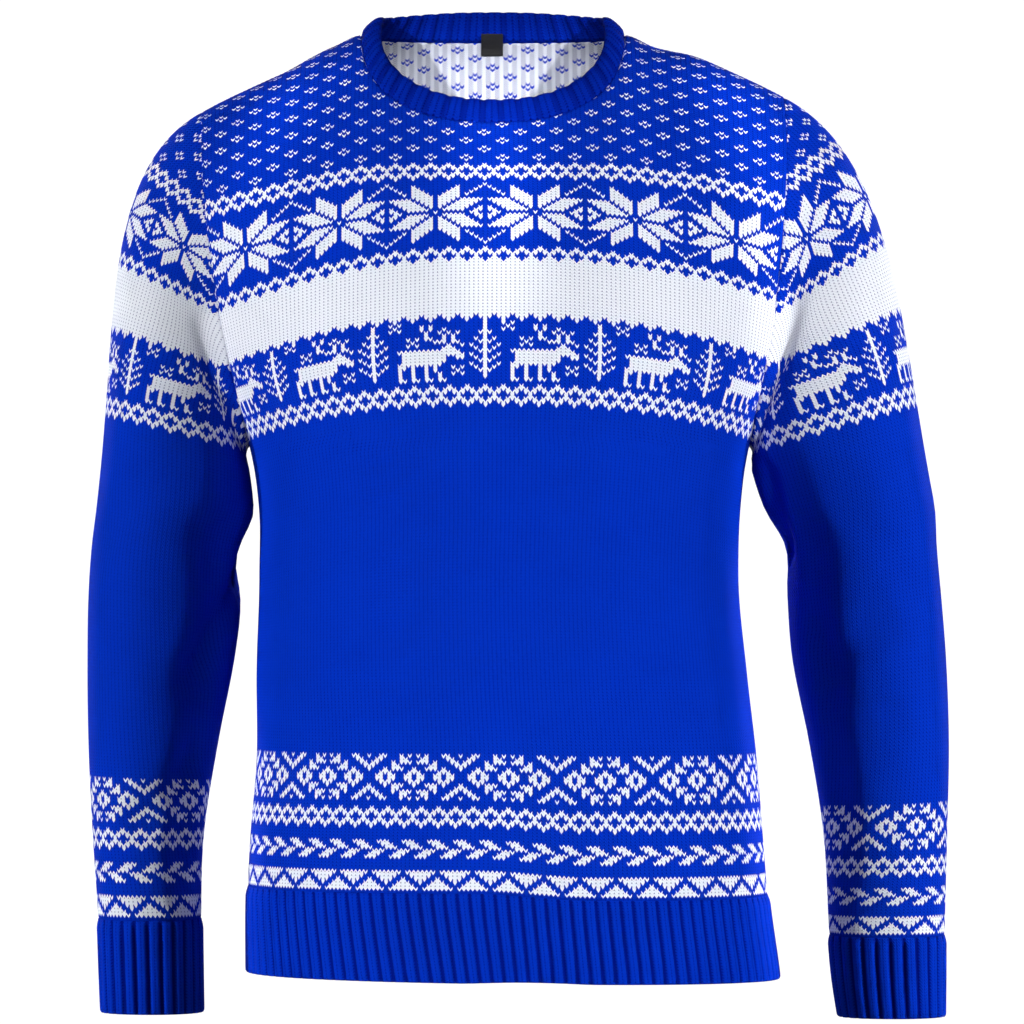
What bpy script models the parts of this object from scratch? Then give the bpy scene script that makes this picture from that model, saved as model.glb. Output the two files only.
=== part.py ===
"""A knitted crew-neck jumper in its worn, hollow form: nine thin walls, metres, +Z up, front on -Y.

The origin is the middle of the neck opening, level with the shoulder seams' inner ends.
"""
import math

import bmesh
import bpy
import numpy as np

for old in list(bpy.data.objects):
    bpy.data.objects.remove(old, do_unlink=True)

# ---- driving sizes -------------------------------------------------------------------------
WALL = 0.0022              # knitted wall
RIB_WALL = 0.0024          # wall under the raised ribs
RIB_RAISE = 0.0015
SEAM_GAP = 0.0003          # left open between two pieces at a seam

UNDERARM_Z = -0.290        # level where body and sleeves part
HEM_TOP_Z = -0.603
HEM_END_Z = -0.6645
HEM_TILT = 0.013           # the hem's fall towards +X
SHOULDER_X = 0.2075        # neck centre to armhole seam
SHOULDER_LIFT = 0.0050     # the +X shoulder sits higher by this, the other lower

NECK_X = 0.0935            # half the neck width at its seam
NECK_SIDE_Z = 0.0035
NECK_FRONT_DROP = 0.0652   # neck seam below its side points
NECK_BACK_DROP = 0.0013
NECK_ROUND = 2.4           # exponent of the neck curve

SECTION_ROUND = 2.35       # exponent of the body's level sections
CHEST_ROUND = 2.0          # exponent of the profile over the chest
BACK_ROUND = 2.6           # exponent of the profile over the shoulder blades
SLEEVE_ROUND = 2.15        # exponent of the sleeves' sections

HEM_RIBS, CUFF_RIBS, BAND_RIBS = 112, 32, 76
CUFF_TOP_Z = {"left": -0.626, "right": -0.636}
CUFF_END_Z = {"left": -0.6895, "right": -0.6925}
LABEL_WIDTH, LABEL_HEIGHT, LABEL_THICK = 0.0145, 0.0145, 0.0008
LABEL_TOP_Z = 0.0068

FRONT, BACK = -1, 1

# level, centre line's lean in x, depth of the side and shoulder seams
LEAN = ((-0.700, 0.0160, -0.018), (-0.660, 0.0140, -0.018), (-0.610, 0.0108, -0.018),
        (-0.565, 0.0099, -0.018), (-0.510, 0.0098, -0.018), (-0.450, 0.0062, -0.018),
        (-0.380, 0.0042, -0.018), (-0.335, 0.0048, -0.0175), (-0.290, 0.0045, -0.016),
        (-0.150, 0.0024, -0.006), (0.000, 0.0000, 0.004), (0.060, 0.0000, 0.004))
# level, half width, depth forward of the side seams, depth behind them
GIRTH = ((-0.700, 0.1900, 0.1250, 0.1140), (-0.660, 0.1883, 0.1245, 0.1130),
         (-0.610, 0.1850, 0.1235, 0.1110), (-0.565, 0.1820, 0.1225, 0.1085),
         (-0.510, 0.1775, 0.1220, 0.1055), (-0.450, 0.1740, 0.1225, 0.1045),
         (-0.380, 0.1700, 0.1240, 0.1070), (-0.335, 0.1708, 0.1255, 0.1110),
         (-0.290, 0.1775, 0.1270, 0.1140), (-0.275, 0.1832, 0.1270, 0.1135),
         (-0.260, 0.1891, 0.1270, 0.1130), (-0.234, 0.2000, 0.1270, 0.1120),
         (-0.180, 0.2195, 0.1270, 0.1100), (-0.120, 0.2315, 0.1270, 0.1080),
         (-0.060, 0.2350, 0.1270, 0.1060), (0.060, 0.2360, 0.1270, 0.1060))
# level, armhole seam's distance from the centre line
ARMHOLE = ((-0.290, 0.1775), (-0.275, 0.1802), (-0.255, 0.1845), (-0.234, 0.1890),
           (-0.180, 0.1985), (-0.120, 0.2050), (-0.070, 0.2075), (0.060, 0.2075))
# distance from the centre line, height where the front ends, height where the back ends; past
# the neck both are the shoulder seam
SHOULDER = ((0.0, -0.0200, 0.0290), (0.030, -0.0165, 0.0265), (0.060, -0.0070, 0.0170),
            (0.0935, 0.0035, 0.0035), (0.1135, -0.0045, -0.0045), (0.134, -0.0120, -0.0120),
            (0.154, -0.0205, -0.0205), (0.175, -0.0300, -0.0300), (0.190, -0.0370, -0.0370),
            (0.2075, -0.0460, -0.0460), (0.240, -0.0640, -0.0640))
# sleeve sections: level, outer edge and inner edge counted outward from x = 0, centre depth,
# half depth
SLEEVE = {
    "left": ((-0.312, 0.2793, 0.1722, -0.016, 0.0620), (-0.335, 0.2818, 0.1700, -0.016, 0.0615),
             (-0.360, 0.2850, 0.1778, -0.015, 0.0600), (-0.400, 0.2876, 0.1787, -0.014, 0.0575),
             (-0.440, 0.2880, 0.1835, -0.016, 0.0550), (-0.500, 0.2870, 0.1950, -0.022, 0.0510),
             (-0.565, 0.2835, 0.2048, -0.031, 0.0455), (-0.626, 0.2790, 0.2063, -0.039, 0.0400),
             (-0.660, 0.2775, 0.2058, -0.043, 0.0385), (-0.692, 0.2760, 0.2052, -0.046, 0.0380)),
    "right": ((-0.312, 0.3100, 0.1850, -0.016, 0.0640), (-0.335, 0.3140, 0.1930, -0.016, 0.0620),
              (-0.360, 0.3152, 0.2065, -0.015, 0.0600), (-0.400, 0.3188, 0.2092, -0.014, 0.0575),
              (-0.440, 0.3218, 0.2125, -0.016, 0.0550), (-0.500, 0.3235, 0.2243, -0.022, 0.0510),
              (-0.565, 0.3218, 0.2342, -0.031, 0.0455), (-0.636, 0.3195, 0.2380, -0.040, 0.0400),
              (-0.665, 0.3192, 0.2405, -0.043, 0.0390), (-0.694, 0.3188, 0.2448, -0.046, 0.0380)),
}
# sleeve creases: from (degrees round, level) to (degrees round, level), half width, depth;
# 0 degrees faces the body, 90 the front, 180 outward
CREASES = {
    "left": ((-14, -0.362, 74, -0.462, 0.012, 0.0085), (20, -0.338, 78, -0.352, 0.012, 0.0030),
             (96, -0.300, 150, -0.368, 0.015, 0.0025), (-38, -0.420, -96, -0.384, 0.013, 0.0050),
             (40, -0.520, 128, -0.560, 0.015, 0.0022), (-150, -0.330, -100, -0.450, 0.015, 0.0030)),
    "right": ((30, -0.306, 4, -0.372, 0.011, 0.0070), (12, -0.388, 66, -0.446, 0.013, 0.0040),
              (80, -0.330, 140, -0.400, 0.015, 0.0025), (-30, -0.400, -92, -0.440, 0.013, 0.0050),
              (30, -0.500, 100, -0.545, 0.015, 0.0028), (-148, -0.350, -104, -0.470, 0.015, 0.0030)),
}
CREASE_RADIUS = 0.055      # turns degrees round a sleeve into a length
# body folds: from (x, z) to (x, z), half width, depth
FOLDS = {
    FRONT: ((0.166, -0.325, 0.150, -0.375, 0.010, 0.0020), (-0.120, -0.560, -0.060, -0.480, 0.020, 0.0016),
            (0.060, -0.470, 0.135, -0.560, 0.022, 0.0016), (-0.150, -0.245, -0.120, -0.170, 0.014, 0.0018),
            (0.158, -0.250, 0.128, -0.175, 0.014, 0.0018)),
    BACK: ((-0.110, -0.430, 0.070, -0.452, 0.017, 0.0045), (-0.050, -0.490, 0.120, -0.474, 0.016, 0.0035),
           (-0.150, -0.250, -0.105, -0.160, 0.015, 0.0030), (0.150, -0.255, 0.112, -0.150, 0.015, 0.0028)),
}


# ---- forms ---------------------------------------------------------------------------------
def along(table, column, at):
    """A smooth curve through one column of a table, read at values of the first column."""
    rows = sorted(table)
    xs = np.array([row[0] for row in rows])
    ys = np.array([row[column] for row in rows])
    step = np.diff(ys) / np.diff(xs)
    slope = np.concatenate(([step[0]], (step[:-1] + step[1:]) / 2, [step[-1]]))
    turns = np.concatenate(([False], step[:-1] * step[1:] <= 0, [False]))
    slope[turns] = 0
    at = np.clip(np.asarray(at, float), xs[0], xs[-1])
    i = np.clip(np.searchsorted(xs, at, side="right") - 1, 0, len(xs) - 2)
    width = xs[i + 1] - xs[i]
    t = (at - xs[i]) / width
    return ((2 * t**3 - 3 * t**2 + 1) * ys[i] + (t**3 - 2 * t**2 + t) * width * slope[i]
            + (3 * t**2 - 2 * t**3) * ys[i + 1] + (t**3 - t**2) * width * slope[i + 1])


def ease(t):
    t = np.clip(t, 0, 1)
    return t * t * (3 - 2 * t)


def rounded(share, power):
    """A superellipse's other coordinate."""
    return np.clip(1 - np.clip(np.abs(share), 0, 1)**power, 0, 1) ** (1 / power)


def place(x, y, z):
    """Leans the centre line, sets the seams' depth and lifts one shoulder over the other."""
    lift = SHOULDER_LIFT * np.sign(x) * ease((np.abs(x) - 0.112) / 0.04) * ease((z - UNDERARM_Z) / 0.2)
    return np.stack([x + along(LEAN, 1, z), y + along(LEAN, 2, z), z + lift], -1)


def depth(side, z):
    return side * along(GIRTH, 2 if side == FRONT else 3, z)


def end_z(side, x):
    return along(SHOULDER, 1 if side == FRONT else 2, np.abs(x))


def profile_round(side):
    return CHEST_ROUND if side == FRONT else BACK_ROUND


def level_point(side, share, z):
    """The body's point below the underarm, at a share of its half width."""
    half = along(GIRTH, 1, z)
    return place(share * half, depth(side, z) * rounded(share, SECTION_ROUND), z)


def yoke_point(side, share, turn):
    """The body's point over the underarm: share of the armhole width, turn 0..pi/2 up its profile."""
    power = profile_round(side)
    rise = np.sin(turn) ** (2 / power)
    z = UNDERARM_Z + 0.25 * rise
    for _ in range(12):
        x = share * along(ARMHOLE, 1, z)
        z = UNDERARM_Z + (end_z(side, x) - UNDERARM_Z) * rise
    across = rounded(x / along(GIRTH, 1, z), SECTION_ROUND)
    return place(x, depth(side, z) * np.cos(turn) ** (2 / power) * across, z)


def seam_turn(side, x, level):
    """The turn at which the yoke reaches a level."""
    reach = np.clip((level - UNDERARM_Z) / (end_z(side, x) - UNDERARM_Z), 0, 1)
    return np.arcsin(reach ** (profile_round(side) / 2))


def neck_z(side, x):
    """Height of the neck seam at a distance x from the centre line."""
    drop = NECK_FRONT_DROP if side == FRONT else NECK_BACK_DROP
    return NECK_SIDE_Z - drop * rounded(x / NECK_X, NECK_ROUND)


def sleeve_point(hand, z, turn):
    """A point of a sleeve's level section: turn 0 faces the body, a quarter turn the front."""
    out, inn = along(SLEEVE[hand], 1, z), along(SLEEVE[hand], 2, z)
    c, s = np.cos(turn), np.sin(turn)
    x = (out + inn) / 2 - (out - inn) / 2 * np.sign(c) * np.abs(c) ** (2 / SLEEVE_ROUND)
    y = along(SLEEVE[hand], 3, z) - along(SLEEVE[hand], 4, z) * np.sign(s) * np.abs(s) ** (2 / SLEEVE_ROUND)
    return np.stack([-x if hand == "left" else x, y, z + 0 * x], -1)


# ---- meshes --------------------------------------------------------------------------------
def unit(vectors):
    return vectors / np.maximum(np.linalg.norm(vectors, axis=-1, keepdims=True), 1e-12)


def tube_normals(points):
    """Outward normals of a tube of points, rows by columns."""
    across = np.roll(points, -1, 1) - np.roll(points, 1, 1)
    normal = unit(np.cross(across, np.gradient(points, axis=0)))
    outward_share = np.sum(normal * (points - points.mean(1, keepdims=True)), -1).mean()
    return normal * np.sign(outward_share)


def trough(rel, run, width):
    """Depth share of a soft trough along a run, at places counted from its start."""
    t = np.clip(rel @ run / (run @ run), -0.2, 1.2)
    gap = np.linalg.norm(rel - t[..., None] * run, axis=-1)
    return np.exp(-(gap / width)**2) * ease(np.minimum(t, 1 - t) * 2.5 + 0.5)


def run_along(points):
    """Distance along a row of points."""
    return np.concatenate(([0], np.cumsum(np.linalg.norm(np.diff(points, axis=0), axis=1))))


def loop_points(loop, count):
    """Rows evenly spaced along a closed polygon, whose first three columns are its points."""
    closed = np.vstack([loop, loop[:1]])
    run = run_along(closed[:, :3])
    at = np.arange(count) / count * run[-1]
    return np.stack([np.interp(at, run, closed[:, k]) for k in range(loop.shape[1])], -1)


def joined(front_row, back_row):
    """A closed ring from a front row and a back row that share their ends."""
    return np.vstack([front_row, back_row[-2:0:-1]])


def material(name, colour):
    mat = bpy.data.materials.new(name)
    mat.use_nodes = True
    shader = mat.node_tree.nodes["Principled BSDF"]
    shader.inputs["Base Color"].default_value = (*colour, 1)
    shader.inputs["Roughness"].default_value = 0.9
    return mat


def wall(name, outer, inner, closed, mat):
    """A wall between two grids of points; closed joins the last column to the first."""
    rows, cols = outer.shape[:2]
    mesh = bmesh.new()
    skins = [[[mesh.verts.new(skin[r, c]) for c in range(cols)] for r in range(rows)]
             for skin in (outer, inner)]
    pairs = [(c, (c + 1) % cols) for c in range(cols if closed else cols - 1)]
    for skin in skins:
        for r in range(rows - 1):
            for c, d in pairs:
                mesh.faces.new((skin[r][c], skin[r + 1][c], skin[r + 1][d], skin[r][d]))
    for r in (0, rows - 1):
        for c, d in pairs:
            mesh.faces.new((skins[0][r][c], skins[0][r][d], skins[1][r][d], skins[1][r][c]))
    for c in () if closed else (0, cols - 1):
        for r in range(rows - 1):
            mesh.faces.new((skins[0][r][c], skins[0][r + 1][c], skins[1][r + 1][c], skins[1][r][c]))
    bmesh.ops.recalc_face_normals(mesh, faces=mesh.faces)
    bmesh.ops.triangulate(mesh, faces=mesh.faces, quad_method="SHORT_EDGE")
    data = bpy.data.meshes.new(name)
    mesh.to_mesh(data)
    mesh.free()
    data.materials.append(mat)
    bpy.context.collection.objects.link(bpy.data.objects.new(name, data))


def ribbed(name, outer, mat):
    """A closed wall whose outer points rise on every second column."""
    normal = tube_normals(outer)
    lifted = np.where(np.arange(outer.shape[1]) % 2 == 0, RIB_RAISE, 0)[None, :, None]
    wall(name, outer + normal * lifted, outer - normal * RIB_WALL, True, mat)


knit = material("knit", (0.003, 0.035, 0.45))
rib = material("rib", (0.003, 0.035, 0.45))
tab = material("label", (0.012, 0.012, 0.014))

# ---- front and back ------------------------------------------------------------------------
NECK_COLUMNS = 9                            # half the neck's columns
SHOULDER_SHARES = (0.57, 0.70, 0.85, 1.0)   # columns along a shoulder, as shares of SHOULDER_X
LOWER_ROWS, YOKE_ROWS = 10, 13
SPREAD = 1.3                                # how soon the neck's columns spread below it
NECK_SHARE = NECK_X / SHOULDER_X


def top_shares(side):
    """Columns' places on the top edge: even along the neck seam, then along the shoulder."""
    x = NECK_X * np.sin(np.linspace(0, math.pi / 2, 600)) ** (2 / NECK_ROUND)
    run = run_along(yoke_point(side, x / SHOULDER_X, seam_turn(side, x, neck_z(side, x))))
    neck = np.interp(np.linspace(0, run[-1], NECK_COLUMNS + 1), run, x) / SHOULDER_X
    half = np.concatenate([neck, SHOULDER_SHARES])
    return np.concatenate([-half[:0:-1], half])


def low_shares():
    """Columns' places on the underarm's section: even round it."""
    share = np.sin(np.linspace(0, math.pi / 2, 400)) ** (2 / SECTION_ROUND)
    run = run_along(level_point(FRONT, share, UNDERARM_Z + 0 * share))
    half = np.interp(np.linspace(0, run[-1], NECK_COLUMNS + len(SHOULDER_SHARES) + 1), run, share)
    return np.concatenate([-half[:0:-1], half])


def outward(form, side, share, height, low, high):
    """Outward normals of a panel from its form's own slopes."""
    step = 1e-4
    wide = form(side, np.clip(share + step, -1, 1), height) - form(side, np.clip(share - step, -1, 1), height)
    over, under = np.clip(height + step, low, high), np.clip(height - step, low, high)
    return unit(np.cross(wide, form(side, share, over) - form(side, share, under))) * -side


low_share = low_shares()
top_share, panels, panel_normals = {}, {}, {}
for side in (FRONT, BACK):
    top_share[side] = top_shares(side)
    x = top_share[side] * SHOULDER_X
    level = np.where(np.abs(x) < NECK_X - 1e-9, neck_z(side, x), end_z(side, x))
    top_turn = seam_turn(side, x, level)
    points, normals = [], []
    for v in np.linspace(1, 0, YOKE_ROWS + 1):
        share = (1 - v**SPREAD) * low_share + v**SPREAD * top_share[side]
        points.append(yoke_point(side, share, top_turn * v))
        normals.append(outward(yoke_point, side, share, top_turn * v, 0, math.pi / 2))
    for z in np.linspace(UNDERARM_Z, HEM_TOP_Z, LOWER_ROWS + 1)[1:]:
        level = np.full(len(low_share), z)
        points.append(level_point(side, low_share, level))
        normals.append(outward(level_point, side, low_share, level, HEM_END_Z, UNDERARM_Z))
    points, normals = np.array(points), np.array(normals)
    for x0, z0, x1, z1, width, deep in FOLDS[side]:
        rel = np.stack([points[:, 1:-1, 0] - x0, points[:, 1:-1, 2] - z0], -1)
        points[:, 1:-1, 1] -= side * deep * trough(rel, np.array([x1 - x0, z1 - z0]), width)
    panels[side], panel_normals[side] = points, normals

# side and shoulder seams face along the plane between front and back, the same way on both
seam = np.zeros(panels[FRONT].shape[:2], bool)
seam[YOKE_ROWS:, 0] = seam[YOKE_ROWS:, -1] = True
seam[0] = np.abs(top_share[FRONT]) > NECK_SHARE - 1e-9
shared = panel_normals[FRONT] + panel_normals[BACK]
shared[..., 1] = 0
for side, name in ((FRONT, "front"), (BACK, "back")):
    outer, normal = panels[side].copy(), panel_normals[side]
    normal[seam] = unit(shared[seam])
    outer[seam, 1] += side * SEAM_GAP / 2
    outer[-1, :, 2] += SEAM_GAP / 2
    wall(name, outer, outer - normal * WALL, False, knit)

# ---- sleeves -------------------------------------------------------------------------------
CAP_ROWS, ARM_ROWS = 11, 13
CAP_CROWDING = 1.15                 # crowds the cap's rows towards its seam
CAP_OFF = 0.0004                    # the cap's edge beyond the panels' edges
LEAVE, ARRIVE = 0.30, 0.40          # reach of the cap's curves, as shares of its span

for hand, sign in (("left", -1), ("right", 1)):
    column = 0 if sign < 0 else -1
    edge = slice(0, YOKE_ROWS + 1)
    hole = joined(panels[FRONT][edge, column], panels[BACK][edge, column])
    beside = joined(panel_normals[FRONT][edge, column], panel_normals[BACK][edge, column])
    # the armhole's top is the sleeve's outside, its foot the side that faces the body
    turn = math.pi - np.arange(len(hole)) / YOKE_ROWS * math.pi
    foot = (1 + np.cos(turn)) / 2
    head, flank = 1 - foot, np.abs(np.sin(turn))
    start = hole + np.stack([sign * (CAP_OFF + 0.0001 * head), 0 * turn, SEAM_GAP * foot**4], -1)
    leave = unit(np.stack([sign * (0.88 * head + 0.10 * flank + 0.60 * foot), -0.06 * np.sin(turn),
                           -(0.46 * head + 0.45 * flank + 0.55 * foot)], -1))
    first_z = SLEEVE[hand][0][0]
    end = sleeve_point(hand, np.full(len(hole), first_z), turn)
    arrive = unit(sleeve_point(hand, np.full(len(hole), first_z - 0.004), turn) - end)
    span = np.linalg.norm(end - start, axis=1, keepdims=True)
    rows = []
    for t in (np.arange(CAP_ROWS) / CAP_ROWS) ** CAP_CROWDING:
        rows.append((1 - t)**3 * start + 3 * (1 - t)**2 * t * (start + leave * span * LEAVE)
                    + 3 * (1 - t) * t * t * (end - arrive * span * ARRIVE) + t**3 * end)
    for z in np.linspace(first_z, CUFF_TOP_Z[hand] + SEAM_GAP / 2, ARM_ROWS + 1):
        rows.append(sleeve_point(hand, np.full(len(hole), z), turn))
    outer = np.array(rows)
    sunk = np.zeros(outer.shape[:2])
    for turn0, z0, turn1, z1, width, deep in CREASES[hand]:
        swing = (turn - math.radians(turn0) + math.pi) % (2 * math.pi) - math.pi
        rel = np.stack([np.broadcast_to(swing * CREASE_RADIUS, sunk.shape), outer[..., 2] - z0], -1)
        sunk += deep * trough(rel, np.array([math.radians(turn1 - turn0) * CREASE_RADIUS, z1 - z0]), width)
    sunk[0] = sunk[-1] = 0
    outer = outer - tube_normals(outer) * sunk[..., None]
    normal = tube_normals(outer)
    own = foot[:, None]**2
    normal[0] = unit(normal[0] * own + beside * (1 - own))
    wall("sleeve_" + hand, outer, outer - normal * WALL, True, knit)

# ---- hem rib and cuffs ---------------------------------------------------------------------
rings = []
for z in np.linspace(HEM_TOP_Z, HEM_END_Z, 3):
    level = np.full(len(low_share), z)
    ring = joined(level_point(FRONT, low_share, level), level_point(BACK, low_share, level))
    down = (HEM_TOP_Z - z) / (HEM_TOP_Z - HEM_END_Z)
    ring[:, 2] -= HEM_TILT * (ring[:, 0] - ring[:, 0].mean()) * down + SEAM_GAP / 2 * (1 - down)
    rings.append(loop_points(ring, HEM_RIBS * 2))
ribbed("hem_rib", np.array(rings), rib)

for hand in ("left", "right"):
    turn = math.pi - np.arange(2 * YOKE_ROWS) / YOKE_ROWS * math.pi
    rings = [loop_points(sleeve_point(hand, np.full(len(turn), z), turn), CUFF_RIBS * 2)
             for z in np.linspace(CUFF_TOP_Z[hand] - SEAM_GAP / 2, CUFF_END_Z[hand], 3)]
    ribbed("cuff_" + hand, np.array(rings), rib)

# ---- neckband ------------------------------------------------------------------------------
# the band's way from its seam, inward and upward: at the sides, at the front, at the back
BAND_INWARD = (0.0150, 0.0140, 0.0080)
BAND_UPWARD = (0.0130, 0.0168, 0.0210)
# share of the band's height, swell of its outer face, wall, share of the ribs' raise
BAND_SECTION = ((0.00, 0.0000, 0.0024, 0.4), (0.34, 0.0014, 0.0036, 0.9),
                (0.74, 0.0012, 0.0036, 0.9), (1.00, -0.0006, 0.0020, 0.4))
BAND_GAP = SEAM_GAP * 1.4

neck_rows = []
for side in (FRONT, BACK):
    in_neck = np.abs(top_share[side]) < NECK_SHARE + 1e-9
    neck_rows.append(np.hstack([panels[side][0][in_neck], panel_normals[side][0][in_neck]]))
seam_ring = loop_points(joined(*neck_rows), BAND_RIBS * 2)
base, seam_normal = seam_ring[:, :3], seam_ring[:, 3:]
side_y = along(LEAN, 2, NECK_SIDE_Z)
ahead = np.clip((side_y - base[:, 1]) / (side_y - base[:, 1].min()), 0, 1)**2
behind = np.clip((base[:, 1] - side_y) / (base[:, 1].max() - side_y), 0, 1)**2
at_sides = 1 - ahead - behind
inward = BAND_INWARD[0] * at_sides + BAND_INWARD[1] * ahead + BAND_INWARD[2] * behind
upward = BAND_UPWARD[0] * at_sides + BAND_UPWARD[1] * ahead + BAND_UPWARD[2] * behind
half_y = (base[:, 1].max() - base[:, 1].min()) / 2
plan = unit(np.stack([base[:, 0] / NECK_X, (base[:, 1] - side_y) / half_y, 0 * inward], -1))
way = plan * -inward[:, None]
way[:, 2] = upward
height = np.linalg.norm(way, axis=1, keepdims=True)
way = way / height
out = unit(np.cross(way, np.roll(base, -1, 0) - np.roll(base, 1, 0)))
out *= np.sign(np.sum(out * plan, 1, keepdims=True))
raised = np.where(np.arange(len(base)) % 2 == 0, RIB_RAISE, 0)[:, None]
outer, inner = [], []
for share, swell, thick, ribs_share in BAND_SECTION:
    point = base + way * (height * share + BAND_GAP)
    facing = seam_normal if share == 0 else out
    outer.append(point + facing * (swell + raised * ribs_share))
    inner.append(point + facing * (swell - thick))
wall("neckband", np.array(outer), np.array(inner), True, rib)

# ---- label ---------------------------------------------------------------------------------
# it hangs from the neck seam inside the back, its top pushed forward by the band
LABEL_CLEAR = 0.0013       # between the label and the back panel
LABEL_PUSH = 0.0030        # added at its top
rows = []
for z in np.linspace(LABEL_TOP_Z, LABEL_TOP_Z - LABEL_HEIGHT, 5):
    x = np.linspace(-LABEL_WIDTH / 2, LABEL_WIDTH / 2, 4)
    point = yoke_point(BACK, x / SHOULDER_X, seam_turn(BACK, x, z))
    point[:, 1] -= WALL + LABEL_CLEAR + LABEL_PUSH * ease((z + 0.004) / 0.012)
    rows.append(point)
outer = np.array(rows)
wall("neck_label", outer, outer - np.array([0, LABEL_THICK, 0]), False, tab)
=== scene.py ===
"""A knitted crew-neck jumper with traditional bands, in its worn, hollow form."""
import functools
import math

import bpy
import numpy as np
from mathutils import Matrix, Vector, kdtree


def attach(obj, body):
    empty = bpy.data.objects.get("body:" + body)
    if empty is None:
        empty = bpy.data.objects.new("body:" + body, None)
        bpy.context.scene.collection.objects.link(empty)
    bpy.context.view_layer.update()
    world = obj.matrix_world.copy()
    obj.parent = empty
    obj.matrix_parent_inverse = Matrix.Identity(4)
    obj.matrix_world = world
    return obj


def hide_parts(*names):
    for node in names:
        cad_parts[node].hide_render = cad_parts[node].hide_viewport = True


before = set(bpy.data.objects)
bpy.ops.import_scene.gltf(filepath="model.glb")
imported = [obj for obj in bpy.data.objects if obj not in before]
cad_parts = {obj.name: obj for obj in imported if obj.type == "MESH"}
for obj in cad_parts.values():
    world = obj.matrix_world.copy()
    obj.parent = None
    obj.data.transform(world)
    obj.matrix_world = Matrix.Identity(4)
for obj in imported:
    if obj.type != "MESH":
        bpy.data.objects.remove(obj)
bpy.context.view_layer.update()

# ---- front panel ----
# The front is knitted flat in blue and white wool, with bands of stars, deer and roses carried
# across it, shaped at the armholes and the neck, and seamed to the back at sides and shoulders.
WALL = 0.0020
UNDERARM_Z, HEM_TOP_Z, ARMHOLE_TOP_Z = -0.290, -0.6016, -0.046
FRONT, BACK = -1, 1
NECK_X, NECK_SIDE_Z, NECK_DROP, NECK_ROUND = 0.0935, 0.0035, {FRONT: 0.0652, BACK: 0.0013}, 2.4
SECTION_ROUND, PROFILE_ROUND = 2.35, {FRONT: 2.0, BACK: 2.6}
# the +X shoulder sits higher by this and the other lower, outward from LIFT_X
SHOULDER_LIFT, LIFT_X, LIFT_WIDE, LIFT_TALL = 0.005, 0.112, 0.04, 0.2
# the lower body hangs down by a step and a slope on its +X side, below DIP_TOP_Z
DIP_STEP, DIP_STEP_X, DIP_STEP_WIDE = 0.0045, -0.025, 0.085
DIP_SLOPE, DIP_SLOPE_WIDE, DIP_TOP_Z, DIP_TALL = 0.0018, 0.18, -0.44, 0.155
# level, the centre line's lean in x, depth of the side and shoulder seams
LEAN = (
    (-0.7, 0.016, -0.018), (-0.66, 0.014, -0.018), (-0.61, 0.0108, -0.018),
    (-0.565, 0.0099, -0.018), (-0.51, 0.0098, -0.018), (-0.45, 0.0062, -0.018),
    (-0.38, 0.0042, -0.018), (-0.335, 0.0048, -0.0175), (-0.29, 0.0045, -0.016),
    (-0.15, 0.0024, -0.006), (0, 0, 0.004), (0.06, 0, 0.004))
# level, half width, depth forward of the side seams, depth behind them
GIRTH = (
    (-0.7, 0.19, 0.125, 0.114), (-0.66, 0.1883, 0.1245, 0.113), (-0.61, 0.185, 0.1235, 0.111),
    (-0.565, 0.182, 0.1225, 0.1085), (-0.51, 0.1775, 0.122, 0.1055),
    (-0.45, 0.174, 0.1225, 0.1045), (-0.38, 0.17, 0.124, 0.107), (-0.335, 0.1708, 0.1255, 0.111),
    (-0.29, 0.1775, 0.127, 0.114), (-0.275, 0.1832, 0.127, 0.1135), (-0.26, 0.1891, 0.127, 0.113),
    (-0.234, 0.2, 0.127, 0.112), (-0.18, 0.2195, 0.127, 0.11), (-0.12, 0.2315, 0.127, 0.108),
    (-0.06, 0.235, 0.127, 0.106), (0.06, 0.236, 0.127, 0.106))
DEPTH = {FRONT: 2, BACK: 3}      # the column of depth for each side
# level, the armhole seam's distance from the centre line
ARMHOLE = (
    (-0.29, 0.1775), (-0.275, 0.1802), (-0.255, 0.1845), (-0.234, 0.189), (-0.18, 0.1985),
    (-0.12, 0.205), (-0.07, 0.2075), (0.06, 0.2075))
# distance from the centre line, height where the front ends, height where the back ends
SHOULDER = (
    (-0.03, -0.0165, 0.0265), (0, -0.02, 0.029), (0.03, -0.0165, 0.0265), (0.06, -0.007, 0.017),
    (0.0935, 0.0035, 0.0035), (0.1135, -0.0045, -0.0045), (0.134, -0.012, -0.012),
    (0.154, -0.0205, -0.0205), (0.175, -0.03, -0.03), (0.19, -0.037, -0.037),
    (0.2075, -0.046, -0.046), (0.24, -0.064, -0.064))
# soft folds: from (x, z) to (x, z), half width, depth
FOLDS = {
    FRONT: (
        (0.166, -0.325, 0.15, -0.375, 0.01, 0.002), (-0.12, -0.56, -0.06, -0.48, 0.02, 0.0016),
        (0.06, -0.47, 0.135, -0.56, 0.022, 0.0016), (-0.15, -0.245, -0.12, -0.17, 0.014, 0.0018),
        (0.158, -0.25, 0.128, -0.175, 0.014, 0.0018)),
    BACK: (
        (-0.11, -0.43, 0.07, -0.452, 0.017, 0.0045), (-0.05, -0.49, 0.12, -0.474, 0.016, 0.0035),
        (-0.15, -0.25, -0.105, -0.16, 0.015, 0.003), (0.15, -0.255, 0.112, -0.15, 0.015, 0.0028)),
}
# stitches from the centre line to a side seam, a stitch's width over the chest, and how far the
# pattern's middle stitch sits from the centre line at each level, in stitches
HALF_STITCHES = 80.5
STITCH = 0.00319
CENTRE_DRIFT = (
    (-0.62, -3.9), (-0.55, -3.7), (-0.245, -2.85), (-0.15, -2.3), (-0.096, -2.2), (0.06, -2.1))
LOOSE_Z, LOOSE_TALL = -0.225, 0.065      # below this the stitches share the girth evenly
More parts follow.
